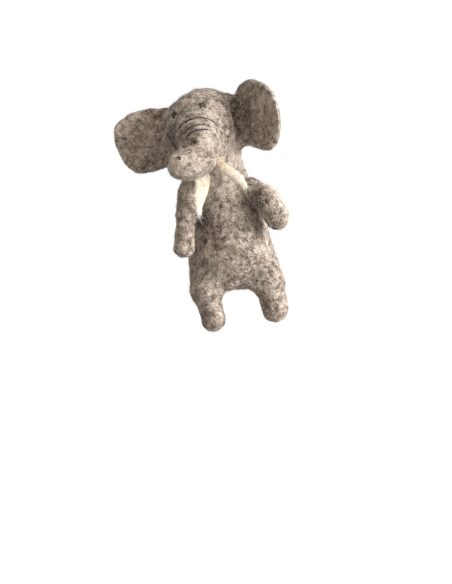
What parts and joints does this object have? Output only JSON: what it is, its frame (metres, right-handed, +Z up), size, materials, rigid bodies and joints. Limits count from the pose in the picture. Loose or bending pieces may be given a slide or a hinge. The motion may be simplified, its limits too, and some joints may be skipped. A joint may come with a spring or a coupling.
{
  "type": "elephant finger puppet",
  "caption": "Felted wool elephant finger puppet with a round finger pocket, a turning and nodding head, and a trunk, ears, tusks, arms and legs that flex.",
  "frame": {"origin": "centre of the finger pocket's mouth, at the hem", "axes": "+Z up the finger through body and head, the belly faces -Y, the elephant's own left is +X"},
  "size_m": [0.0645, 0.0481, 0.094],
  "materials": {
    "felt": "heathered grey-brown wool felt",
    "tusk_felt": "cream wool felt",
    "thread": "dark stitching thread"
  },
  "bodies": {
    "body": {"torso": "felt"},
    "neck": {"neck": "felt"},
    "head": {"head": "felt", "left_eye": "thread", "right_eye": "thread"},
    "trunk": {"trunk": "felt", "left_nostril": "thread", "right_nostril": "thread", "upper_wrinkle": "thread", "middle_wrinkle": "thread", "lower_wrinkle": "thread"},
    "left_ear": {"left_ear": "felt"},
    "right_ear": {"right_ear": "felt"},
    "left_tusk": {"left_tusk": "tusk_felt"},
    "right_tusk": {"right_tusk": "tusk_felt"},
    "left_arm": {"left_arm": "felt"},
    "right_arm": {"right_arm": "felt"},
    "left_leg": {"left_leg": "felt"},
    "right_leg": {"right_leg": "felt"}
  },
  "joints": [
    {"name": "neck_turn", "type": "hinge", "parent": "body", "child": "neck", "pos_m": [0, 0, 0.049], "axis": [0, 0, 1], "range_deg": [-8, 12], "stiffness_Nm_per_rad": 0.02},
    {"name": "head_nod", "type": "hinge", "parent": "neck", "child": "head", "pos_m": [0, 0, 0.049], "axis": [0.9397, -0.342, 0], "range_deg": [-15, 9], "stiffness_Nm_per_rad": 0.03},
    {"name": "trunk_lift", "type": "hinge", "parent": "head", "child": "trunk", "pos_m": [-0.00529, -0.01388, 0.05931], "axis": [-0.9345, 0.3401, -0.1045], "range_deg": [-4, 30], "stiffness_Nm_per_rad": 0.01},
    {"name": "left_ear_flap", "type": "hinge", "parent": "head", "child": "left_ear", "pos_m": [0.01227, -0.00537, 0.06395], "axis": [0.0982, -0.0358, -0.9945], "range_deg": [-25, 25], "stiffness_Nm_per_rad": 0.003},
    {"name": "right_ear_flap", "type": "hinge", "parent": "head", "child": "right_ear", "pos_m": [-0.01727, 0.00537, 0.06065], "axis": [-0.0982, 0.0358, 0.9945], "range_deg": [-25, 25], "stiffness_Nm_per_rad": 0.003},
    {"name": "left_tusk_swing", "type": "hinge", "parent": "head", "child": "left_tusk", "pos_m": [0.00152, -0.01232, 0.04946], "axis": [-0.9345, 0.3401, -0.1045], "range_deg": [-2, 15], "stiffness_Nm_per_rad": 0.0005},
    {"name": "right_tusk_swing", "type": "hinge", "parent": "head", "child": "right_tusk", "pos_m": [-0.00441, -0.01186, 0.04846], "axis": [-0.9345, 0.3401, -0.1045], "range_deg": [-2, 15], "stiffness_Nm_per_rad": 0.0005},
    {"name": "left_arm_swing", "type": "hinge", "parent": "body", "child": "left_arm", "pos_m": [0.012, -0.007, 0.0365], "axis": [0, -1, 0], "range_deg": [-6, 22], "stiffness_Nm_per_rad": 0.003},
    {"name": "right_arm_swing", "type": "hinge", "parent": "body", "child": "right_arm", "pos_m": [-0.0118, -0.007, 0.0385], "axis": [0, 1, 0], "range_deg": [-5, 50], "stiffness_Nm_per_rad": 0.003},
    {"name": "left_leg_swing", "type": "hinge", "parent": "body", "child": "left_leg", "pos_m": [0.0126, -0.0092, 0.0005], "axis": [-1, 0, 0], "range_deg": [0, 50], "stiffness_Nm_per_rad": 0.003},
    {"name": "right_leg_swing", "type": "hinge", "parent": "body", "child": "right_leg", "pos_m": [-0.0126, -0.0092, 0.0005], "axis": [-1, 0, 0], "range_deg": [0, 50], "stiffness_Nm_per_rad": 0.003}
  ]
}
